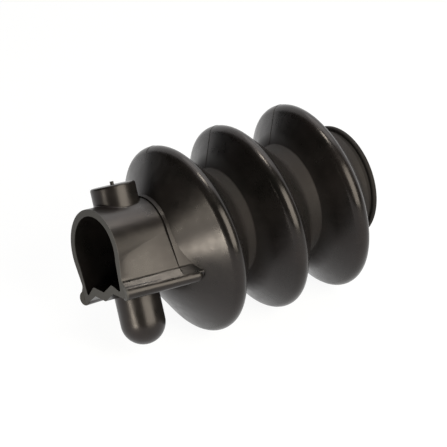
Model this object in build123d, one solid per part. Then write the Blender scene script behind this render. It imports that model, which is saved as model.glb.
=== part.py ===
from build123d import *
from math import acos, atan2, cos, hypot, radians, sin, tan
import os

# Rubber bellows boot, one moulding. Millimetres.
# The boot is drawn upright, with its boss on top.
# It is then rolled about the collar's axis to lie on its folds.
# X is the collar's axis and runs from the neck to the collar.
# The origin is the centre of the collar's mouth.

# Folds
fold_pitch = 54.7
fold_radius = 67.3  # to the top of a crest
crest_rounding = 6.5
valley_depths = [28.8, 27.8, 26.3]  # from the crests down to the level floor behind each fold
valley_rounding = 4.0  # between a fold's back flank and that floor
valley_shortfall = 34.7  # how much shorter than the pitch that floor is, to end inside the next fold
crease_rounding = 0.9  # between the floor and the next fold's front flank
front_flank = 57.0  # degrees between the axis and the side of a fold that faces the neck
back_flank = 50.5  # the same for the side that faces the collar
last_back_flank = 60.0  # the last fold falls more steeply to the clamp groove
fold_wall = 2.8
fold_drop = 2.3  # the folds hang this far below the collar's axis
# How much each fold's plane rises along X, across and towards the boss
fold_leans = [(0.07, -0.08), (0.11, -0.09), (0.12, -0.07)]
fold_depth = 43.3  # from the crests down to where a fold starts, inside the valley before it

# Collar
collar_bore = 34.8
groove_radius = 38.0
groove_width = 6.5
bead_radius = 40.6
bead_width = 3.6
bead_rounding = 1.4
last_crest_to_mouth = 29.0

# Neck section: a round arch on two straight sides, corner beads and a pleated floor
arch_radius = 25.0
arch_wall = 4.7
side_top_inset = 0.5  # the opening's sides start this far inside the arch
side_foot_half = 21.7  # half width between the sides where they meet the floor
side_foot_depth = 29.0
side_foot_rounding = 1.4
waist_half = 25.7  # half width over the sides, just above the beads
waist_depth = 21.5
waist_rounding = 4.0
ledge_half = 30.2  # half width over the ledges on top of the rods
ledge_depth = 27.6
ledge_rounding = 0.7
floor_low_half = 25.0
floor_low_depth = 33.6
floor_low_rounding = 2.0
pleat_half = 11.8  # from the middle to a pleat's ridge
pleat_ridge_depth = 23.0
pleat_valley_depth = 27.4
pleat_height_wall = 6.2  # thickness of the pleated floor, measured upright
pleat_rounding = 2.3
neck_to_first_crest = 71.4
neck_rise = 8.4  # centre of the arch above the collar's axis, at the front face
neck_tilt = 4.0  # degrees by which the neck falls towards the folds
neck_splay = 0.21  # how fast the lower corners spread towards the folds
neck_depth = 58.0

# Lip round the neck, against the first fold
lip_start = 41.0
lip_height = 0.9

# Tapered rods along the neck's lower corners
rod_half = 26.1
rod_depth = 29.8
rod_front_radius = 5.0
rod_end_radius = 4.1
rod_length = 53.0
rod_splay = 0.22
slot_width = 1.3  # slot in each rod's front face
slot_height = 3.4
slot_depth = 1.0

# Blind boss over the neck and blind pocket under it, on one axis
boss_distance = 25.0  # from the neck's front face
boss_radius = 15.6
boss_top = 41.6  # above the centre of the arch
boss_wall = 3.2
boss_rounding = 1.6
boss_foot_rounding = 1.2
nib_radius = 1.3
nib_height = 2.4
pocket_radius = 15.4
pocket_depth = 68.7  # from the centre of the arch to the tip
pocket_wall = 3.2

# Rest
roll = 27.0  # degrees about the collar's axis, which lean the boss back
flat_spot = 0.5  # depth of the flat on each crest that the boot lies on

overrun = 10.0  # how far a cutting solid runs past the surface it cuts

first_crest = -last_crest_to_mouth - fold_pitch * (len(fold_leans) - 1)


def fold(back_angle, valley_depth, wall):
    """One fold and the valley behind it, with the crest at X = 0, drawn in by a wall."""
    front, back = radians(front_flank), radians(back_angle)
    rounding = crest_rounding - wall
    skew = (cos(front) - cos(back)) / (sin(front) + sin(back))
    rise = rounding / (cos(front) - sin(front) * skew)
    tip_x, tip_radius = skew * rise, fold_radius - crest_rounding + rise
    foot_radius = fold_radius - fold_depth - wall * cos(front)
    floor_radius = fold_radius - valley_depth - wall
    foot_x = tip_x - (tip_radius - foot_radius) / tan(front)
    floor_x = tip_x + (tip_radius - floor_radius) / tan(back)
    end_x = floor_x + fold_pitch - valley_shortfall
    line = [(foot_x, foot_radius), (tip_x, tip_radius), (floor_x, floor_radius), (end_x, floor_radius)]
    flanks = FilletPolyline(*line, radius=[rounding, valley_rounding + wall])
    closing = Polyline((end_x, floor_radius), (end_x, 0), (foot_x, 0), (foot_x, foot_radius))
    return revolve(make_face(flanks.edges() + closing.edges()), axis=Axis.X)


def folds(wall=0.0):
    """All folds on their leaned axes, cut off square where the clamp groove begins."""
    row = []
    for k, (side, up) in enumerate(fold_leans):
        axis = Vector(1, -side, -up).normalized()
        centre = (first_crest + fold_pitch * k, 0, -fold_drop)
        place = Plane(centre, x_dir=axis, z_dir=Vector(0, 0, 1) - axis * axis.Z).location
        back_angle = last_back_flank if k + 1 == len(fold_leans) else back_flank
        row.append(place * fold(back_angle, valley_depths[k], wall))
    joined = row[0].fuse(*row[1:])
    joined = fillet(new_edges(*row, combined=joined), crease_rounding + wall)
    end = -bead_width - groove_width - wall
    size = 2 * (fold_radius + overrun)
    return joined - Pos(end + size / 2, 0, 0) * Box(size, size, size)


def collar_outside():
    """The clamp groove and the end bead, from inside the last fold to the mouth."""
    groove_end = -bead_width
    start = groove_end - groove_width - overrun
    section = Pos((start + groove_end) / 2, groove_radius / 2) * Rectangle(groove_end - start, groove_radius)
    bead = Pos(groove_end / 2, bead_radius / 2) * Rectangle(bead_width, bead_radius)
    outer_corners = bead.vertices().group_by(Axis.Y)[-1]
    bead = fillet(outer_corners, bead_rounding)
    return revolve(section + bead, axis=Axis.X)


def mirrored(half_line, middle):
    """A line from one side through the middle to the other side."""
    return half_line + [middle] + [(-y, z) for y, z in reversed(half_line)]


def neck_outline(x, grow=0.0):
    """The neck's outer section at a distance x behind its front face, grown outwards by a lip."""
    spread = neck_splay * x
    outer = arch_radius + arch_wall + grow
    waist = (waist_half + spread + grow, -waist_depth)
    # The straight side leaves the arch at this angle
    touch = acos(outer / hypot(*waist)) + atan2(waist[1], waist[0])
    half_line = [
        (outer * cos(touch), outer * sin(touch)),
        waist,
        (ledge_half + spread, -ledge_depth),
        (floor_low_half + spread, -floor_low_depth),
        (pleat_half + spread / 2, -pleat_ridge_depth - pleat_height_wall - grow),
    ]
    middle = (0, -pleat_valley_depth - pleat_height_wall - grow)
    corners = mirrored(half_line, middle)
    radii = [waist_rounding, ledge_rounding, floor_low_rounding, pleat_rounding]
    arch = ThreePointArc(corners[-1], (0, outer), corners[0])
    floor = FilletPolyline(*corners, radius=radii + [pleat_rounding] + radii[::-1])
    return Plane.YZ.offset(x) * make_face(arch.edges() + floor.edges())


def neck_floor_opening(x):
    """The opening under the arch at a distance x behind the neck's front face."""
    spread = neck_splay * x
    half_line = [
        (arch_radius - side_top_inset, 0),
        (side_foot_half + spread, -side_foot_depth),
        (pleat_half + spread / 2, -pleat_ridge_depth),
    ]
    corners = mirrored(half_line, (0, -pleat_valley_depth))
    radii = [side_foot_rounding, pleat_rounding, pleat_rounding, pleat_rounding, side_foot_rounding]
    floor = FilletPolyline(*corners, radius=radii)
    top = Line(corners[-1], corners[0])
    return Plane.YZ.offset(x) * make_face(floor.edges() + top.edges())


def neck_hollow():
    """The round arch, which is a true bore for the tube, with the opening down to the floor."""
    length = neck_depth + 2 * overrun
    arch = Pos(neck_depth / 2, 0, 0) * Rot(0, 90, 0) * Cylinder(arch_radius, length)
    return arch + loft([neck_floor_opening(-overrun), neck_floor_opening(neck_depth + overrun)], ruled=True)


def rod(side):
    """A tapered rod with a rounded end, along one lower corner of the neck."""
    start = Vector(0, side * rod_half, -rod_depth)
    way = Vector(1, side * rod_splay, 0).normalized()
    shaft = Solid.make_cone(rod_front_radius, rod_end_radius, rod_length, Plane(start, z_dir=way))
    return shaft + Pos(start + way * rod_length) * Sphere(rod_end_radius)


def rod_slot(side):
    return Pos(0, side * rod_half, -rod_depth) * Box(2 * slot_depth, slot_width, slot_height)


def boss():
    """The blind boss with the nib that its mould leaves."""
    body = Pos(boss_distance, 0, boss_top / 2) * Cylinder(boss_radius, boss_top)
    body = fillet(body.edges().group_by(Axis.Z)[-1], boss_rounding)
    return body + Pos(boss_distance, 0, boss_top + nib_height / 2) * Cylinder(nib_radius, nib_height)


def boss_hollow():
    top = boss_top - boss_wall
    return Pos(boss_distance, 0, top / 2) * Cylinder(boss_radius - boss_wall, top)


def pocket(wall=0.0):
    """The blind pocket, or its hollow for the given wall."""
    radius = pocket_radius - wall
    centre = -(pocket_depth - pocket_radius)
    top = -pleat_valley_depth
    shaft = Pos(boss_distance, 0, (top + centre) / 2) * Cylinder(radius, top - centre)
    return shaft + Pos(boss_distance, 0, centre) * Sphere(radius)


def boot():
    neck_place = Location((first_crest - neck_to_first_crest, 0, neck_rise), (0, neck_tilt, 0))
    neck = loft([neck_outline(0), neck_outline(neck_depth)], ruled=True)
    neck_and_boss = neck + boss()
    neck_and_boss = fillet(new_edges(neck, boss(), combined=neck_and_boss), boss_foot_rounding)
    lip = loft([neck_outline(lip_start, lip_height), neck_outline(neck_depth, lip_height)], ruled=True)
    below_neck = pocket() + rod(-1) + rod(1) - rod_slot(-1) - rod_slot(1)

    outside = folds() + collar_outside()
    outside += neck_place * neck_and_boss
    outside += neck_place * lip
    outside += neck_place * below_neck

    bore = Rot(0, 90, 0) * Cylinder(collar_bore, 2 * (bead_width + groove_width + overrun))
    hollow = folds(fold_wall) + bore
    hollow += neck_place * neck_hollow()
    hollow += neck_place * boss_hollow()
    hollow += neck_place * pocket(pocket_wall)
    return outside - hollow


def at_rest(upright):
    """Rolls the boot to its resting place and cuts the flats that it lies on."""
    lying = Rot(-roll, 0, 0) * upright
    floor = -fold_drop * cos(radians(roll)) - fold_radius + flat_spot
    return split(lying, Plane.XY.offset(floor), keep=Keep.TOP)


os.makedirs("parts", exist_ok=True)
export_step(at_rest(boot()), "parts/bellows_boot.step")
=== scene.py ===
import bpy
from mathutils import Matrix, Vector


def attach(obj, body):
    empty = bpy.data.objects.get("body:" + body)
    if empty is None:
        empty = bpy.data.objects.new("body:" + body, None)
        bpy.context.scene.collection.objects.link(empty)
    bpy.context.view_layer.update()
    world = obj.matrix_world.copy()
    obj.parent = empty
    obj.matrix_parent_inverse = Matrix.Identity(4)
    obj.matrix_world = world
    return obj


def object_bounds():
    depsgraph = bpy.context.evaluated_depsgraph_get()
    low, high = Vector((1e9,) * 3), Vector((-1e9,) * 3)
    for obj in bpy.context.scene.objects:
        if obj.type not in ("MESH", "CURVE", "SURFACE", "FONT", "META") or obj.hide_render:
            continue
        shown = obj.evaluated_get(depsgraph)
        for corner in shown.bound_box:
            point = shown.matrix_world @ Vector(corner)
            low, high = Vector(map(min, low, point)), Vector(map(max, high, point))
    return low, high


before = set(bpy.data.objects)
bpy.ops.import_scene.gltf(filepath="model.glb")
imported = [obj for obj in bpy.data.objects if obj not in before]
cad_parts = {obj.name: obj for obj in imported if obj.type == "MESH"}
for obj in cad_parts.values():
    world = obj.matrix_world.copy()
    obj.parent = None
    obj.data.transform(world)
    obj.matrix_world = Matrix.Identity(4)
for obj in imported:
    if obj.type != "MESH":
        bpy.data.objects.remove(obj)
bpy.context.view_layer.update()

import math

import bmesh
import bpy
from mathutils import Matrix, Vector

# ---------------------------------------------------------------- camera
# Solved on the outlines of the folds, the boss, the pocket and the neck in the photo
TARGET = Vector((-0.1043, 0.0, -0.0016))  # the middle of the picture
FORWARD = Vector((0.5373, 0.7089, -0.4569)).normalized()
DISTANCE = 2.0698  # from the camera to that point
LENS = 241.6  # in millimetres, for the sensor below
SENSOR = 36.0


def aim(obj, forward):
    """Turns an object's -Z towards a direction, with its Y kept upwards."""
    right = forward.cross(Vector((0, 0, 1))).normalized()
    up = right.cross(forward)
    obj.matrix_world = Matrix.Translation(obj.location) @ Matrix((right, up, -forward)).transposed().to_4x4()


camera_data = bpy.data.cameras.new("camera")
camera_data.lens = LENS
camera_data.sensor_width = SENSOR
camera_data.sensor_fit = "HORIZONTAL"
camera_data.clip_start = 0.05
camera_data.clip_end = 50.0
camera = bpy.data.objects.new("camera", camera_data)
bpy.context.scene.collection.objects.link(camera)
camera.location = TARGET - FORWARD * DISTANCE
aim(camera, FORWARD)
bpy.context.scene.camera = camera
bpy.context.scene.view_settings.view_transform = "Standard"

# ---------------------------------------------------------------- lights
WARM = (1.0, 0.97, 0.83)
NEUTRAL = (1.0, 1.0, 0.98)
MIDDLE = Vector((-0.1, 0.0, 0.0))  # what the studio is set up around


def direction(azimuth, elevation):
    """The unit vector towards an azimuth and an elevation in degrees."""
    a, e = math.radians(azimuth), math.radians(elevation)
    return Vector((math.cos(a) * math.cos(e), math.sin(a) * math.cos(e), math.sin(e)))


def softbox(name, location, width, height, radiance, colour, faces=MIDDLE):
    """A rectangular lamp at a place, turned to what it faces. Its power is set by its radiance."""
    data = bpy.data.lights.new(name, "AREA")
    data.shape = "RECTANGLE"
    data.size, data.size_y = width, height
    data.energy = radiance * math.pi * width * height
    data.color = colour
    obj = bpy.data.objects.new(name, data)
    bpy.context.scene.collection.objects.link(obj)
    obj.location = location
    aim(obj, (faces - obj.location).normalized())
    obj.visible_camera = False


# What the small lamps face, on the camera's side of the boot
SECOND_FOLD = Vector((-0.08, -0.03, 0.03))
FIRST_FLANK = Vector((-0.15, -0.053, 0.02))  # the side of the first fold that faces the neck
ROD = Vector((-0.175, -0.036, 0.0))

softbox("right_softbox", MIDDLE + direction(276, 26) * 1.0, 0.86, 0.80, 7.2, WARM)
softbox("left_softbox", Vector((-0.56, -0.02, 0.06)), 0.12, 0.10, 7.0, WARM, SECOND_FOLD)
softbox("low_softbox", Vector((-0.36, -0.080, -0.028)), 0.05, 0.045, 30.0, WARM, FIRST_FLANK)
softbox("top_softbox", MIDDLE + direction(25, 55) * 1.3, 1.0, 0.8, 1.5, NEUTRAL)
softbox("rod_softbox", Vector((-0.067, -0.030, 0.333)), 0.07, 0.06, 22.0, WARM, ROD)


# ---------------------------------------------------------------- background
WHITE = (1, 1, 1, 1)
WORLD_LIT, WORLD_SHOWN = 0.5, 1.0  # strength as a light, and as the white behind the object


def shown_directly(tree):
    """1 for the rays that show the white background: those from the camera and those in gloss and glass."""
    nodes, links = tree.nodes, tree.links
    path = nodes.new("ShaderNodeLightPath")
    first = nodes.new("ShaderNodeMath")
    first.operation = "MAXIMUM"
    links.new(path.outputs["Is Camera Ray"], first.inputs[0])
    links.new(path.outputs["Is Glossy Ray"], first.inputs[1])
    second = nodes.new("ShaderNodeMath")
    second.operation = "MAXIMUM"
    links.new(first.outputs[0], second.inputs[0])
    links.new(path.outputs["Is Transmission Ray"], second.inputs[1])
    return second.outputs[0]


world = bpy.data.worlds.new("studio")
bpy.context.scene.world = world
world.use_nodes = True
tree = world.node_tree
tree.nodes.clear()
output = tree.nodes.new("ShaderNodeOutputWorld")
mix = tree.nodes.new("ShaderNodeMixShader")
lit = tree.nodes.new("ShaderNodeBackground")
seen = tree.nodes.new("ShaderNodeBackground")
lit.inputs["Color"].default_value = WHITE
lit.inputs["Strength"].default_value = WORLD_LIT
seen.inputs["Color"].default_value = WHITE
seen.inputs["Strength"].default_value = WORLD_SHOWN
tree.links.new(shown_directly(tree), mix.inputs["Fac"])
tree.links.new(lit.outputs["Background"], mix.inputs[1])
tree.links.new(seen.outputs["Background"], mix.inputs[2])
tree.links.new(mix.outputs["Shader"], output.inputs["Surface"])

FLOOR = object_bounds()[0][2] - 0.0002  # just under the boot

# ---------------------------------------------------------------- black cloth
# It stands round part of the set and keeps the gloss dark. The camera looks through it.
CLOTH_COLOUR = (0.01, 0.01, 0.01, 1)
CLOTH_FROM, CLOTH_TO, CLOTH_STEPS = 104.0, 343.0, 48  # degrees of azimuth
CLOTH_PROFILE = [(1.85, FLOOR + 0.001), (1.85, 1.45), (0.75, 2.25)]  # radius and height

mesh = bpy.data.meshes.new("black_cloth")
points = []
for step in range(CLOTH_STEPS + 1):
    turn = math.radians(CLOTH_FROM + (CLOTH_TO - CLOTH_FROM) * step / CLOTH_STEPS)
    for radius, height in CLOTH_PROFILE:
        points.append((MIDDLE.x + radius * math.cos(turn), MIDDLE.y + radius * math.sin(turn), height))
rows = len(CLOTH_PROFILE)
faces = []
for step in range(CLOTH_STEPS):
    for row in range(rows - 1):
        corner = step * rows + row
        faces.append((corner, corner + rows, corner + rows + 1, corner + 1))
mesh.from_pydata(points, [], faces)
cloth = bpy.data.objects.new("black_cloth", mesh)
bpy.context.scene.collection.objects.link(cloth)
cloth.visible_camera = False
cloth_material = bpy.data.materials.new("black_cloth")
cloth_material.use_nodes = True
shader = cloth_material.node_tree.nodes["Principled BSDF"]
shader.inputs["Base Color"].default_value = CLOTH_COLOUR
shader.inputs["Roughness"].default_value = 1.0
shader.inputs["Specular IOR Level"].default_value = 0.0
mesh.materials.append(cloth_material)

# ---------------------------------------------------------------- floor
HALF = 6.0  # half the floor's side
FLOOR_GREY = (0.12, 0.12, 0.12, 1)  # what the lamps light, with the object's shadow in it
FLOOR_GLOW = 0.92  # what is added to that where the floor is shown directly

mesh = bpy.data.meshes.new("floor")
corners = [(-HALF, -HALF, FLOOR), (HALF, -HALF, FLOOR), (HALF, HALF, FLOOR), (-HALF, HALF, FLOOR)]
mesh.from_pydata(corners, [], [(0, 1, 2, 3)])
floor = bpy.data.objects.new("floor", mesh)
bpy.context.scene.collection.objects.link(floor)
floor_material = bpy.data.materials.new("pale_floor")
floor_material.use_nodes = True
tree = floor_material.node_tree
tree.nodes.clear()
output = tree.nodes.new("ShaderNodeOutputMaterial")
diffuse = tree.nodes.new("ShaderNodeBsdfDiffuse")
diffuse.inputs["Color"].default_value = FLOOR_GREY
glow = tree.nodes.new("ShaderNodeEmission")
glow.inputs["Color"].default_value = WHITE
glow.inputs["Strength"].default_value = FLOOR_GLOW
none = tree.nodes.new("ShaderNodeEmission")
none.inputs["Strength"].default_value = 0.0
mix = tree.nodes.new("ShaderNodeMixShader")
add = tree.nodes.new("ShaderNodeAddShader")
tree.links.new(shown_directly(tree), mix.inputs["Fac"])
tree.links.new(none.outputs[0], mix.inputs[1])
tree.links.new(glow.outputs[0], mix.inputs[2])
tree.links.new(diffuse.outputs[0], add.inputs[0])
tree.links.new(mix.outputs[0], add.inputs[1])
tree.links.new(add.outputs[0], output.inputs["Surface"])
mesh.materials.append(floor_material)


# ---------------------------------------------------------------- rubber
ROLL = math.radians(27.0)  # the boot lies rolled by this angle about its axis
ACROSS = Vector((0.0, math.cos(ROLL), -math.sin(ROLL)))  # square to the mould's parting plane
UPRIGHT = Vector((0.0, math.sin(ROLL), math.cos(ROLL)))  # towards the boss
ALONG = Vector((1.0, 0.0, 0.0))  # the collar's axis

NECK_FRONT = -0.2098  # along X
NECK_RISE = 0.0084  # the arch's centre above the collar's axis, at the front
NECK_TILT = math.radians(4.0)
CUT_FACE = ALONG * NECK_FRONT + UPRIGHT * NECK_RISE  # middle of the neck's front face
CUT_AXIS = UPRIGHT * math.sin(NECK_TILT) - ALONG * math.cos(NECK_TILT)  # out of that face
CUT_SKIN = 0.0006  # how deep the paler cut surface goes

FOLD_AXIS = UPRIGHT * -0.0023  # the folds' axis passes near here, along X
CREST_FROM, CREST_FULL = 0.060, 0.066  # radii between which the polished crests begin
VALLEY_FROM, VALLEY_FULL = 0.051, 0.041  # radii between which the dull valleys begin
VALLEYS_START, VALLEYS_FULL = -0.137, -0.133  # along X, behind the first crest

RUBBER_DARK = (0.0066, 0.0062, 0.0059, 1)
RUBBER_BROWN = (0.0115, 0.0094, 0.0093, 1)
RUBBER_CUT = (0.042, 0.0413, 0.040, 1)
RUBBER_BLOOM = (0.018, 0.016, 0.015, 1)
BLOOM_AMOUNT = 0.35

# Roughness of the rubber, and what each place adds to it
GLOSS_FROM, GLOSS_TO = 0.25, 0.33
SMEAR_FROM, SMEAR_TO = -0.02, 0.05
CREST_POLISH = 0.06
VALLEY_DULL = 0.50
CUT_ROUGHNESS = 0.55
SPECULAR = 0.34
SPECULAR_TINT = (1.0, 0.905, 0.89, 1)

# How many noise cells a metre holds, by the kind of mark
MOTTLE, SMEARS, GRAIN, WAVES, DENTS = 38.0, 150.0, 1500.0, 45.0, 420.0
WAVE_HEIGHT, DENT_HEIGHT, GRAIN_HEIGHT = 0.0007, 0.00003, 0.000018


class Nodes:
    """Short calls for the nodes of one material."""

    def __init__(self, tree):
        self.tree = tree
        self.position = tree.nodes.new("ShaderNodeTexCoord").outputs["Object"]

    def link(self, value, socket):
        if isinstance(value, bpy.types.NodeSocket):
            self.tree.links.new(value, socket)
        else:
            socket.default_value = value

    def noise(self, scale, detail, roughness=0.5):
        node = self.tree.nodes.new("ShaderNodeTexNoise")
        node.inputs["Scale"].default_value = scale
        node.inputs["Detail"].default_value = detail
        node.inputs["Roughness"].default_value = roughness
        self.link(self.position, node.inputs["Vector"])
        return node.outputs["Fac"]

    def ramp(self, value, low, high, to_low=0.0, to_high=1.0):
        node = self.tree.nodes.new("ShaderNodeMapRange")
        for socket, item in zip(node.inputs, (value, low, high, to_low, to_high)):
            self.link(item, socket)
        return node.outputs["Result"]

    def math(self, operation, first, second):
        node = self.tree.nodes.new("ShaderNodeMath")
        node.operation = operation
        self.link(first, node.inputs[0])
        self.link(second, node.inputs[1])
        return node.outputs[0]

    def along(self, axis):
        """How far a point lies along an axis through the origin."""
        node = self.tree.nodes.new("ShaderNodeVectorMath")
        node.operation = "DOT_PRODUCT"
        self.link(self.position, node.inputs[0])
        node.inputs[1].default_value = axis
        return node.outputs["Value"]

    def from_axis(self, centre):
        """How far a point lies from the line along X through a centre."""
        moved = self.tree.nodes.new("ShaderNodeVectorMath")
        moved.operation = "SUBTRACT"
        self.link(self.position, moved.inputs[0])
        moved.inputs[1].default_value = centre
        flat = self.tree.nodes.new("ShaderNodeVectorMath")
        flat.operation = "MULTIPLY"
        self.link(moved.outputs[0], flat.inputs[0])
        flat.inputs[1].default_value = (0.0, 1.0, 1.0)
        length = self.tree.nodes.new("ShaderNodeVectorMath")
        length.operation = "LENGTH"
        self.link(flat.outputs[0], length.inputs[0])
        return length.outputs["Value"]

    def mix(self, factor, first, second):
        node = self.tree.nodes.new("ShaderNodeMix")
        node.data_type = "RGBA"
        self.link(factor, node.inputs["Factor"])
        self.link(first, node.inputs[6])
        self.link(second, node.inputs[7])
        return node.outputs[2]

    def bump(self, height, distance, strength, under=None):
        node = self.tree.nodes.new("ShaderNodeBump")
        node.inputs["Distance"].default_value = distance
        node.inputs["Strength"].default_value = strength
        self.link(height, node.inputs["Height"])
        if under is not None:
            self.link(under, node.inputs["Normal"])
        return node.outputs["Normal"]


def rubber():
    """Black moulded rubber: fine grain, soft waves, a brown cast, dull valleys and a paler cut face."""
    material = bpy.data.materials.new("moulded_rubber")
    material.use_nodes = True
    nodes = Nodes(material.node_tree)
    shader = material.node_tree.nodes["Principled BSDF"]

    mottle = nodes.noise(MOTTLE, 5.0, 0.6)
    smears = nodes.noise(SMEARS, 4.0, 0.65)
    grain = nodes.noise(GRAIN, 3.0, 0.6)
    front = CUT_FACE.dot(CUT_AXIS)
    cut = nodes.ramp(nodes.along(CUT_AXIS), front - CUT_SKIN, front - CUT_SKIN / 2)

    radius = nodes.from_axis(FOLD_AXIS)
    crest = nodes.ramp(radius, CREST_FROM, CREST_FULL)
    behind = nodes.ramp(nodes.along(ALONG), VALLEYS_START, VALLEYS_FULL)
    valley = nodes.math("MULTIPLY", nodes.ramp(radius, VALLEY_FROM, VALLEY_FULL), behind)

    colour = nodes.mix(nodes.ramp(mottle, 0.35, 0.65), RUBBER_DARK, RUBBER_BROWN)
    bloom = nodes.math("MULTIPLY", nodes.ramp(smears, 0.55, 0.75), BLOOM_AMOUNT)
    colour = nodes.mix(bloom, colour, RUBBER_BLOOM)
    colour = nodes.mix(cut, colour, RUBBER_CUT)
    nodes.link(colour, shader.inputs["Base Color"])

    roughness = nodes.ramp(mottle, 0.3, 0.7, GLOSS_FROM, GLOSS_TO)
    roughness = nodes.math("ADD", roughness, nodes.ramp(smears, 0.3, 0.7, SMEAR_FROM, SMEAR_TO))
    roughness = nodes.math("SUBTRACT", roughness, nodes.math("MULTIPLY", crest, CREST_POLISH))
    roughness = nodes.math("ADD", roughness, nodes.math("MULTIPLY", valley, VALLEY_DULL))
    roughness = nodes.math("MAXIMUM", roughness, nodes.math("MULTIPLY", cut, CUT_ROUGHNESS))
    nodes.link(roughness, shader.inputs["Roughness"])
    shader.inputs["Specular IOR Level"].default_value = SPECULAR
    shader.inputs["Specular Tint"].default_value = SPECULAR_TINT

    waves = nodes.bump(nodes.noise(WAVES, 1.0), WAVE_HEIGHT, 0.35)
    dents = nodes.bump(nodes.noise(DENTS, 1.0), DENT_HEIGHT, 0.35, waves)
    nodes.link(nodes.bump(grain, GRAIN_HEIGHT, 0.45, dents), shader.inputs["Normal"])
    return material


# ---------------------------------------------------------------- parting ridge
RIDGE_RADIUS = 0.00022
RIDGE_FROM, RIDGE_TO = -0.152, -0.0105  # along X, over the folds only
RIDGE_ABOVE = 0.02  # from the axis towards the boss
ROUND = 6  # sides of the ridge's bead


def parting_line(mesh):
    """Points of the folds' outer surface in the mould's parting plane, on the boss's side, along X."""
    cut = bmesh.new()
    cut.from_mesh(mesh)
    geometry = cut.verts[:] + cut.edges[:] + cut.faces[:]
    found = bmesh.ops.bisect_plane(cut, geom=geometry, plane_co=(0, 0, 0), plane_no=ACROSS)["geom_cut"]
    points = []
    for edge in found:
        if not isinstance(edge, bmesh.types.BMEdge) or not edge.link_faces:
            continue
        normal = sum((face.normal for face in edge.link_faces), Vector())
        for vert in edge.verts:
            height = vert.co.dot(UPRIGHT)
            if normal.dot(UPRIGHT) > 0 and RIDGE_FROM < vert.co.x < RIDGE_TO and height > RIDGE_ABOVE:
                points.append(vert.co.copy())
    cut.free()
    points.sort(key=lambda point: point.x)
    line = points[:1]
    for point in points[1:]:
        if (point - line[-1]).length > RIDGE_RADIUS:
            line.append(point)
    return line


def ridge(name, line, material):
    """A thin bead of flash along a line, half sunk in the rubber."""
    bead = bmesh.new()
    rings = []
    for k, point in enumerate(line):
        ahead = (line[min(k + 1, len(line) - 1)] - line[max(k - 1, 0)]).normalized()
        out = ahead.cross(ACROSS)
        ring = []
        for step in range(ROUND):
            turn = 2 * math.pi * step / ROUND
            offset = ACROSS * math.cos(turn) + out * math.sin(turn)
            ring.append(bead.verts.new(point + offset * RIDGE_RADIUS))
        rings.append(ring)
    for first, second in zip(rings, rings[1:]):
        for step in range(ROUND):
            after = (step + 1) % ROUND
            bead.faces.new((first[step], first[after], second[after], second[step]))
    bead.faces.new(rings[0][::-1])
    bead.faces.new(rings[-1])
    bmesh.ops.recalc_face_normals(bead, faces=bead.faces[:])
    mesh = bpy.data.meshes.new(name)
    bead.to_mesh(mesh)
    bead.free()
    for face in mesh.polygons:
        face.use_smooth = True
    mesh.materials.append(material)
    obj = bpy.data.objects.new(name, mesh)
    bpy.context.scene.collection.objects.link(obj)
    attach(obj, "root")


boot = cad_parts["bellows_boot"]
material = rubber()
for slot in boot.material_slots:
    slot.material = material
ridge("parting_ridge", parting_line(boot.data), material)
